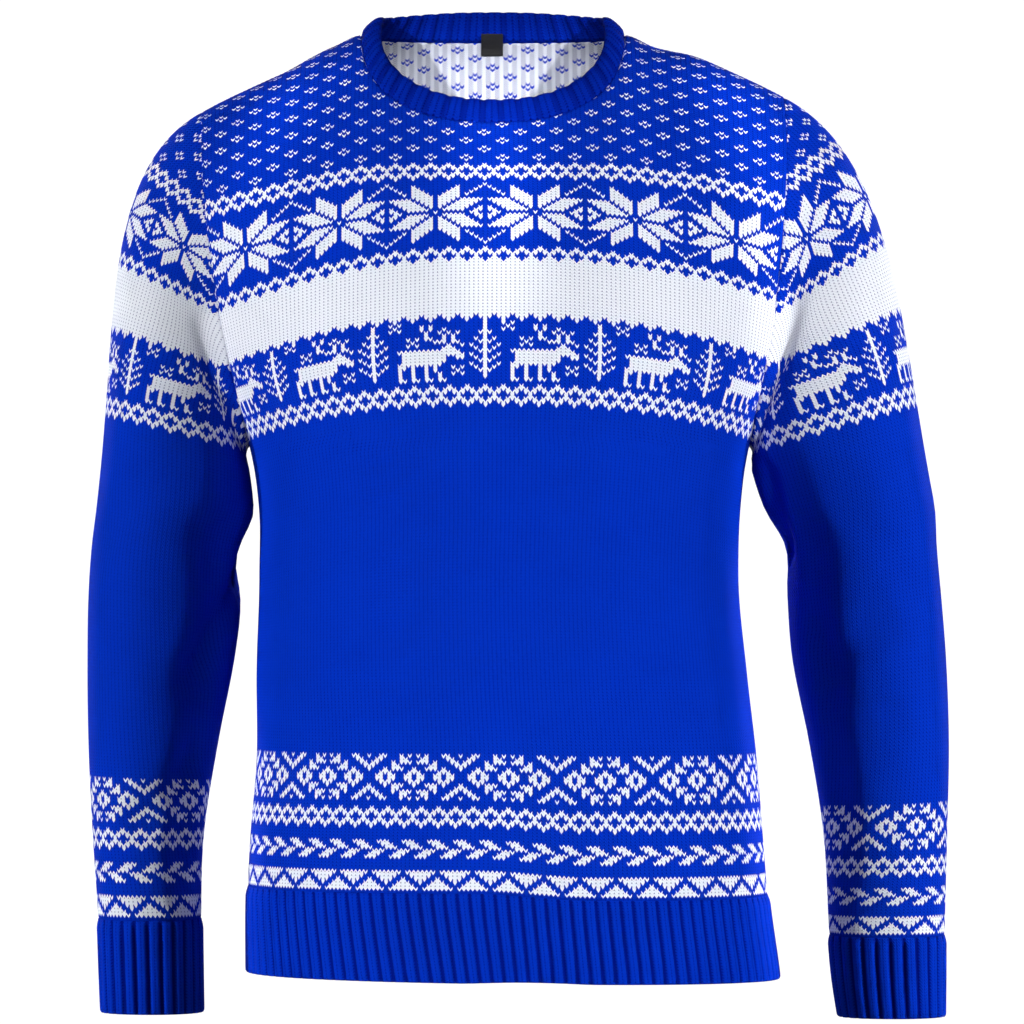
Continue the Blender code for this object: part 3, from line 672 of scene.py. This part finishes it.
def sleeve_tube(hand, sign):
    """The sleeve's surface from armhole to cuff, each ring starting at its outer line."""
    turn = math.pi - np.arange(2 * (SLEEVE_TURNS - 1)) / (SLEEVE_TURNS - 1) * math.pi
    half_turn = np.abs(turn) / 2
    fore = turn >= 0
    start = np.where(fore[:, None], armhole_point(FRONT, sign, half_turn),
                     armhole_point(BACK, sign, half_turn))
    start[:, 0] -= sign * ARMHOLE_GAP
    foot = (1 + np.cos(turn)) / 2
    head, flank = 1 - foot, np.abs(np.sin(turn))
    outward, fall = (a * head + b * flank + c * foot for a, b, c in (CAP_OUTWARD, CAP_DOWN))
    leave = unit(np.stack([sign * outward, -CAP_SWELL * np.sin(turn), -fall], -1))
    first_z = SLEEVE[hand][0][0]
    end = sleeve_point(hand, first_z, turn)
    arrive = unit(sleeve_point(hand, first_z - 0.004, turn) - end)
    span = np.linalg.norm(end - start, axis=1, keepdims=True)
    t = (np.arange(CAP_RINGS) / CAP_RINGS)[:, None, None]
    cap = ((1 - t)**3 * start + 3 * (1 - t)**2 * t * (start + leave * span * CAP_LEAVE)
           + 3 * (1 - t) * t * t * (end - arrive * span * CAP_ARRIVE) + t**3 * end)
    z = np.linspace(first_z, CUFF_TOP_Z[hand], 121)[:, None]
    outer = np.concatenate([cap, sleeve_point(hand, z, turn)])
    sunk = np.zeros(outer.shape[:2])
    for turn0, z0, turn1, z1, width, deep in CREASES[hand]:
        swing = (turn - math.radians(turn0) + math.pi) % (2 * math.pi) - math.pi
        rel = np.stack([np.broadcast_to(swing * CREASE_RADIUS, sunk.shape), outer[..., 2] - z0], -1)
        run = np.array([math.radians(turn1 - turn0) * CREASE_RADIUS, z1 - z0])
        sunk += deep * trough(rel, run, width)
    ends = np.minimum(np.arange(len(outer)), len(outer) - 1 - np.arange(len(outer)))
    return outer - tube_normals(outer) * (sunk * ease(ends / 6)[:, None])[..., None]


def sleeve_lines(hand, sign):
    """The sleeve's lines of stitches, laid out from its outer line; the underarm cuts them off."""
    tube = sleeve_tube(hand, sign)
    normals = tube_normals(tube)
    table = np.arange(-60, LAST_ROW + 0.6, 0.5)
    out_z, slope = along(SLEEVE_ROWS[hand], 1, table), along(SLEEVE_ROWS[hand], 2, table)
    out_x = np.interp(-out_z, -tube[:, 0, 2], np.abs(tube[:, 0, 0]))
    lines = {}
    for fore in (True, False):
        picked = np.arange(SLEEVE_TURNS) * (1 if fore else -1) % tube.shape[1]
        skin, out = tube[:, picked], normals[:, picked]
        run = run_of(skin, 1)
        facing = -sign if fore else sign        # stitches count up towards +X over the front
        rings = np.arange(len(tube))
        # over the cap the stitches stand wider, most of all beside the armhole
        widths = STITCH * (1 + CAP_SPREAD * (1 - ease((rings / CAP_RINGS - 0.35) / 0.5)))
        full = np.floor(2 * run[CAP_RINGS, -1] / STITCH) / 2
        most = np.minimum.accumulate(np.minimum(run[:, -1] / widths, full))
        spare = run[:, -1] - most * widths
        for half in range(0, int(2 * run[0, -1] / STITCH) + 1):
            line = facing * half
            if line in lines or half > 2 * full:
                continue
            room = most - half / 2
            gone = np.flatnonzero(room < -1e-9)
            count = gone[0] + 1 if len(gone) else len(rings)
            reach = half / 2 * widths + spare * ease((half / 2 / most - 0.45) / 0.55)
            i = np.arange(count)
            at = np.array([np.interp(reach[k], run[k], np.arange(SLEEVE_TURNS)) for k in i])
            low = np.minimum(at.astype(int), SLEEVE_TURNS - 2)
            part = (at - low)[:, None]
            points = skin[i, low] * (1 - part) + skin[i, low + 1] * part
            facings = out[i, low] * (1 - part) + out[i, low + 1] * part
            if len(gone):
                share = room[count - 2] / (room[count - 2] - room[count - 1])
                points[-1] = points[-2] + (skin[count - 1, -1] - points[-2]) * share
            over = out_z[None] + slope[None] * (np.abs(points[:, :1]) - out_x[None]) - points[:, 2:]
            number = np.empty(count)
            for row, high in enumerate(over):
                k = int(np.clip(np.count_nonzero(high > 0), 1, len(table) - 1))
                number[row] = table[k - 1] + 0.5 * high[k - 1] / (high[k - 1] - high[k])
            number = np.maximum.accumulate(number + np.arange(count) * 1e-6)
            if not len(gone):
                number = number[0] + ((number - number[0]) * (LAST_ROW - number[0])
                                      / (number[-1] - number[0]))
            lines[line] = (number, points, facings, number[0], number[-1])
    return lines


sleeves = {}
for hand, sign, phase in (
        ("left", -1, dict(body_phase, star=12, deer=16, rose=0, leaf=0, turned=True)),
        ("right", 1, dict(body_phase, chain=1, star=9, deer=7, rose=-5, leaf=0))):
    sleeves[hand] = knitted("sleeve_%s_knit" % hand, sleeve_lines(hand, sign), phase, few_rows,
                            False, colourwork)
    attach(sleeves[hand], "root")
    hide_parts("sleeve_" + hand)

# ---- hem rib ----
# The hem is a wide plain rib knitted downwards from the body's last row: broad ridges of two
# stitches stand up, one narrow column of purl lies back between them.
HEM_RIBS = 112
HEM_END_Z, HEM_TILT = -0.6645, 0.013
# over the -X front the ribs slant, by this much at the hem's end
HEM_SLIDE, SLIDE_X, SLIDE_WIDE, SLIDE_Y, SLIDE_DEEP = 0.006, 0.06, 0.12, -0.018, 0.06
RIB_RAISE, RIB_WALL = 0.0015, 0.0022
ROW_HEIGHT = 0.0022
# place across one rib, rise over the wall, the same place counted in stitches
RIB_ACROSS = (
    (-0.37, -0.15, -1), (-0.29, 0.75, -0.8), (-0.17, 1, -0.5), (0, 0.86, 0), (0.17, 1, 0.5),
    (0.29, 0.75, 0.8), (0.37, -0.15, 1), (0.5, -0.95, 1.5))


def even_ring(ring, ribs, profile, slide=0.0):
    """Places round a closed ring, the profile's across each even rib, slid on in front."""
    closed = np.vstack([ring, ring[:1]])
    way = run_of(closed[:, :3], 0)
    shares = np.array(profile)[:, 0]
    at = ((np.arange(ribs)[:, None] + shares[None] + 1) % ribs).ravel() / ribs * way[-1]
    across, ahead = (np.interp(at, way, closed[:, a]) for a in (0, 1))
    at = at + slide * ease((SLIDE_X - across) / SLIDE_WIDE) * ease((SLIDE_Y - ahead) / SLIDE_DEEP)
    return np.stack([np.interp(at, way, closed[:, a]) for a in range(ring.shape[1])], -1)


def rib_knitted(name, outer, inner, raised, down, finish, profile=RIB_ACROSS):
    """A closed ribbed shell on rings of points outside and inside; the ridges are raised."""
    rings, count = outer.shape[:2]
    ribs, across = count // len(profile), np.array(profile)
    stitch = (np.arange(ribs)[:, None] * 3 + across[:, 2]).ravel() + 0.5
    hang = STITCH_SLANT * (2 * np.abs(stitch - np.round(stitch)) - 0.5)
    outer = outer + raised * np.tile(across[:, 1], ribs)[None, :, None]
    points = np.concatenate([outer.reshape(-1, 3), inner.reshape(-1, 3)])
    ring_of = np.concatenate([np.repeat(np.arange(len(skin)), count) for skin in (outer, inner)])

    # faces run between two rings at a time, each ring on its own strip of the map for the bake
    wall, end = rings * count, len(points) - count
    belts = [(r * count, (r + 1) * count, 0, 0, False) for r in range(rings - 1)]
    belts += [(r, r + count, 1, 1, True) for r in range(wall, end, count)]
    belts += [(0, wall, 2, 3, True), (wall - count, end, 4, 5, False)]
    corners = []
    for a, b, skin_a, skin_b, turned in belts:
        for c in range(count):
            d = (c + 1) % count
            face = [(c, skin_a, a + c), (c, skin_b, b + c),
                    (c + 1, skin_b, b + d), (c + 1, skin_a, a + d)]
            corners.append(face[:1] + face[:0:-1] if turned else face)
    mesh = bpy.data.meshes.new(name)
    mesh.from_pydata(points.tolist(), [], [[corner[2] for corner in face] for face in corners])
    strips = ((0.004, 0.55), (0.58, 0.36), (0.955, 0), (0.963, 0), (0.975, 0), (0.983, 0))
    knit_uv, bake_uv = [], []
    for c, skin, vertex in (corner for face in corners for corner in face):
        wide = stitch[c % count] + (3 * ribs if c == count else 0)
        knit_uv.append((wide, down[min(ring_of[vertex], rings - 1)] + hang[c % count]))
        base, tall = strips[skin]
        share = ring_of[vertex] / (len(inner if skin else outer) - 1)
        bake_uv.append(((wide - stitch[0]) / (3 * ribs) * 0.996 + 0.002, base + tall * (1 - share)))
    return made_up(mesh, knit_uv, bake_uv, finish)


# the hem and cuffs' purl valleys carry strong painted shade
rib_wool = wool("blue_rib_wool", False, 0.80)
RIB_DOWN = np.concatenate([[0.0, 0.02], np.linspace(0.06, 0.94, 20), [0.98, 1.0]])


def plain_rib(name, rings, tall):
    """A tube of rib on rings spaced as RIB_DOWN says; its ridges fade at both ends."""
    out = tube_normals(rings)
    fade = RIB_RAISE * ease(RIB_DOWN / 0.12 + 0.15) * ease((1 - RIB_DOWN) / 0.05 + 0.45)
    return rib_knitted(name, rings, rings - out * RIB_WALL, out * fade[:, None, None],
                       RIB_DOWN * tall / ROW_HEIGHT, rib_wool)


share = np.sin(np.linspace(0, math.pi / 2, 200)) ** (2 / SECTION_ROUND)
share = np.concatenate([-share[:0:-1], share])
rings = []
for down in RIB_DOWN:
    z = HEM_TOP_Z + (HEM_END_Z - HEM_TOP_Z) * down
    fore, aft = (body_point(side, share * along(GIRTH, 1, z), z) for side in (FRONT, BACK))
    ring = np.vstack([fore, aft[-2:0:-1]])
    ring[:, 2] -= (HEM_TILT * (ring[:, 0] - ring[:, 0].mean()) - hem_dip(ring[:, 0], z)) * down
    rings.append(even_ring(ring, HEM_RIBS, RIB_ACROSS, HEM_SLIDE * down))
hem_rib = plain_rib("hem_rib_knit", np.array(rings), HEM_TOP_Z - HEM_END_Z)
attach(hem_rib, "root")
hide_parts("hem_rib")

# ---- cuffs ----
# Each cuff is the same rib, knitted downwards from the sleeve's last row and a little drawn in.
CUFF_RIBS = 26
CUFF_END_Z = {"left": -0.6895, "right": -0.6925}
turn = math.pi - np.arange(240) / 120 * math.pi
cuffs = {}
for hand in ("left", "right"):
    top, end = CUFF_TOP_Z[hand], CUFF_END_Z[hand]
    rings = [even_ring(sleeve_point(hand, z, turn), CUFF_RIBS, RIB_ACROSS)
             for z in top + (end - top) * RIB_DOWN]
    cuffs[hand] = plain_rib("cuff_%s_knit" % hand, np.array(rings), top - end)
    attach(cuffs[hand], "root")
    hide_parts("cuff_" + hand)

# ---- neckband ----
# The neckband is a doubled rib, picked up round the neck seam, folded over at its top edge and
# caught down inside.
BAND_RIBS = 42
BAND_ACROSS = (
    (-0.37, -0.1, -1), (-0.3, 0.7, -0.8), (-0.18, 1, -0.5), (0, 0.9, 0), (0.18, 1, 0.5),
    (0.3, 0.7, 0.8), (0.37, -0.1, 1), (0.5, -0.65, 1.5))
# the band's way from its seam, inward and upward: at the sides, at the front, at the back
BAND_INWARD, BAND_UPWARD = (0.015, 0.014, 0.008), (0.013, 0.0168, 0.021)
BAND_TALL = 0.0215
# downwards: share of the band's height, swell of its face, share of the ribs' rise
BAND_OUTSIDE = (
    (1, -0.001, 0.5), (0.95, -0.0002, 0.7), (0.87, 0.0006, 0.9), (0.74, 0.0013, 1),
    (0.55, 0.0016, 1), (0.34, 0.0015, 1), (0.14, 0.001, 0.9), (0.05, 0.0004, 0.6), (0, 0, 0.3))
BAND_INSIDE = (
    (1, -0.0014, 0.5), (0.975, -0.002, 1), (0.9, -0.0023, 1), (0.75, -0.0022, 1),
    (0.55, -0.0022, 1), (0.35, -0.0023, 1), (0.15, -0.0024, 1), (0, -0.0024, 1))
INNER_RAISE, INNER_BASE = 0.0011, 0.6


def neck_ring():
    """The neck seam, round the front and back, with the surface's normals."""
    share = np.linspace(-1, 1, 401)
    x = NECK_X * np.sign(share) * np.sin(np.abs(share) * math.pi / 2) ** (2 / NECK_ROUND)
    fore, aft = (np.concatenate([body_point(side, x, neck_z(side, x)), neck_facing(side, x)], 1)
                 for side in (FRONT, BACK))
    for end in (0, -1):
        joint = fore[end, 3:] + aft[end, 3:]
        joint[1] = 0
        fore[end, 3:] = aft[end, 3:] = unit(joint)
    return np.vstack([fore, aft[-2:0:-1]])


def neck_facing(side, x):
    """The panel's outward normals just under its neck seam."""
    z, step = neck_z(side, x) - 0.0006, 0.0005
    wide = body_point(side, x + step, z) - body_point(side, x - step, z)
    tall = body_point(side, x, z + step) - body_point(side, x, z - step)
    return unit(np.cross(wide, tall)) * -side


seam = even_ring(neck_ring(), BAND_RIBS, BAND_ACROSS)
base, seam_out = seam[:, :3], unit(seam[:, 3:])
side_y = along(LEAN, 2, NECK_SIDE_Z)
ahead = np.clip((side_y - base[:, 1]) / (side_y - base[:, 1].min()), 0, 1)**2
behind = np.clip((base[:, 1] - side_y) / (base[:, 1].max() - side_y), 0, 1)**2
at_sides = 1 - ahead - behind
inward, upward = (a * at_sides + b * ahead + c * behind for a, b, c in (BAND_INWARD, BAND_UPWARD))
half_y = (base[:, 1].max() - base[:, 1].min()) / 2
plan = unit(np.stack([base[:, 0] / NECK_X, (base[:, 1] - side_y) / half_y, 0 * inward], -1))
way = plan * -inward[:, None]
way[:, 2] = upward
height = np.linalg.norm(way, axis=1, keepdims=True)
way = way / height
out = unit(np.cross(way, np.roll(base, -1, 0) - np.roll(base, 1, 0)))
out *= np.sign(np.sum(out * plan, 1, keepdims=True))
profile = (np.tile(np.array(BAND_ACROSS)[:, 1], BAND_RIBS) - INNER_BASE)[:, None]
outer, inner, raised = [], [], []
for share, swell, rise in BAND_OUTSIDE:
    facing = unit(seam_out * (1 - share) ** 8 + out * (1 - (1 - share) ** 8))
    outer.append(base + way * (height * share) + facing * swell)
    raised.append(facing * RIB_RAISE * rise)
for share, swell, rise in BAND_INSIDE:
    inner.append(base + way * (height * share) + out * swell + out * (INNER_RAISE * profile) * rise)
down = [(1 - share) * BAND_TALL / ROW_HEIGHT for share, swell, rise in BAND_OUTSIDE]
# the band's wool is a darker copy of the rib's: painted shade over its whole colour, lighter
# painted shade in its purl valleys
neckband = rib_knitted("neckband_knit", np.array(outer), np.array(inner), np.array(raised), down,
                       wool("blue_band_wool", False, 0.25, 0.45), BAND_ACROSS)
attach(neckband, "root")
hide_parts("neckband")

# ---- neck label ----
# A small plain tab of black woven tape, sewn in under the back of the neckband and left bare.
LABEL_WIDTH, LABEL_HEIGHT, LABEL_THICK, LABEL_EDGE = 0.0157, 0.0150, 0.0008, 0.0003
LABEL_X, LABEL_TOP_Z, LABEL_CLEAR, LABEL_PUSH = -0.0008, 0.0072, 0.0035, 0.0030

tape = finish_of("black_woven_tape", {"Roughness": 0.6})
coords = Value(tape.node_tree).node("TexCoord", {}, 3)
warp, weft = ((coords.node("SeparateXYZ", {0: coords}, axis) * 9000.0).math("SINE")
              for axis in (0, 2))
weave = warp * weft
(weave * 0.5 + 0.5).blended((0.004, 0.004, 0.005, 1), (0.020, 0.020, 0.023, 1)).drives("Base Color")
weave.node("Bump", {"Strength": 0.4, "Distance": 0.0002, "Height": weave}).drives("Normal")

bpy.ops.object.select_all(action="DESELECT")
bpy.ops.mesh.primitive_grid_add(x_subdivisions=14, y_subdivisions=14, size=1)
label = bpy.context.object
label.name = "neck_label_tape"
for vertex in label.data.vertices:
    x, down = vertex.co.x * LABEL_WIDTH + LABEL_X, 0.5 - vertex.co.y
    z = LABEL_TOP_Z - LABEL_HEIGHT * down
    on_back = body_point(BACK, np.array(x), np.array(min(z, 0.026)))
    push = LABEL_CLEAR + LABEL_PUSH * float(ease((z + 0.004) / 0.012))
    vertex.co = (on_back[0], on_back[1] - push, on_back[2])
thick = label.modifiers.new("thick", "SOLIDIFY")
thick.thickness, thick.offset = LABEL_THICK, 0
bpy.ops.object.modifier_apply(modifier="thick")
edge = label.modifiers.new("edge", "BEVEL")
edge.width, edge.segments = LABEL_EDGE, 2
bpy.ops.object.modifier_apply(modifier="edge")
bpy.ops.object.shade_smooth_by_angle(angle=math.radians(40))
label.data.materials.append(tape)
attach(label, "root")
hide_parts("neck_label")

# ---- floor, backdrop, lamps and camera ----
# A plain pale floor lies under the jumper and a white sheet of paper stands far behind it.


def stood(name, size, spot, tilt, finish):
    """A square sheet of one finish."""
    bpy.ops.object.select_all(action="DESELECT")
    bpy.ops.mesh.primitive_plane_add(size=size, location=spot, rotation=(math.radians(tilt), 0, 0))
    sheet = bpy.context.object
    sheet.name = name
    sheet.data.materials.append(finish)
    return sheet


paint = finish_of("pale_floor_paint", {"Base Color": (0.75, 0.75, 0.75, 1), "Roughness": 0.9})
floor = stood("pale_floor", 18, (0, 0, -1.25), 0, paint)
paper = finish_of("white_paper", {
    "Base Color": (0.05, 0.05, 0.05, 1), "Emission Color": (1, 1, 1, 1), "Emission Strength": 1.05,
    "Roughness": 0.95, "Specular IOR Level": 0.0})
sheet = stood("paper_backdrop", 3.4, (0, 8.2, -0.34), 90, paper)

world = bpy.data.worlds.new("studio")
bpy.context.scene.world = world
world.use_nodes = True
world.node_tree.nodes["Background"].inputs["Color"].default_value = (1, 1, 1, 1)
world.node_tree.nodes["Background"].inputs["Strength"].default_value = 0.03
bpy.context.scene.view_settings.view_transform = "Standard"
for title, power, wide, tall, spread, spot, aim in (
        ("left_box", 0.255, 0.12, 0.7, 2, (-1.97, -1.05, 0.05), (-0.25, -0.05, -0.36)),
        ("right_box", 0.33, 0.13, 0.7, 2, (1.88, -1.23, 0.05), (0.265, -0.05, -0.36)),
        ("front_box", 12, 1.4, 1.4, 180, (0, -4.2, 0.6), (0, 0, -0.3)),
        ("back_left_box", 92, 0.9, 1.4, 180, (-2.2, 3.4, 0.6), (0, 0, -0.3)),
        ("back_right_box", 100, 0.9, 1.4, 180, (2.2, 3.4, 0.6), (0, 0, -0.3)),
        ("body_left_box", 0.51, 0.2, 0.8, 2, (-1.05, -2.4, 0.1), (-0.086, -0.1, -0.355)),
        ("body_right_box", 0.56, 0.22, 0.8, 2, (1.05, -2.4, 0.1), (0.103, -0.1, -0.355))):
    lamp = bpy.data.lights.new(title, "AREA")
    lamp.energy, lamp.shape, lamp.size, lamp.size_y = power, "RECTANGLE", wide, tall
    lamp.spread = math.radians(spread)
    holder = bpy.data.objects.new(title, lamp)
    bpy.context.collection.objects.link(holder)
    holder.location = spot
    holder.rotation_euler = (Vector(aim) - Vector(spot)).to_track_quat("-Z", "Y").to_euler()

camera = bpy.data.cameras.new("camera")
# the picture is this wide where it is this far away
VIEW_WIDE, VIEW_FAR, SENSOR = 0.727, 5.5, 36
camera.sensor_width = SENSOR
camera.lens = SENSOR * VIEW_FAR / VIEW_WIDE
viewer = bpy.data.objects.new("camera", camera)
bpy.context.collection.objects.link(viewer)
viewer.location = (0.0135, -5.52, -0.3365)
viewer.rotation_euler = (math.radians(90), 0, 0)
bpy.context.scene.camera = viewer
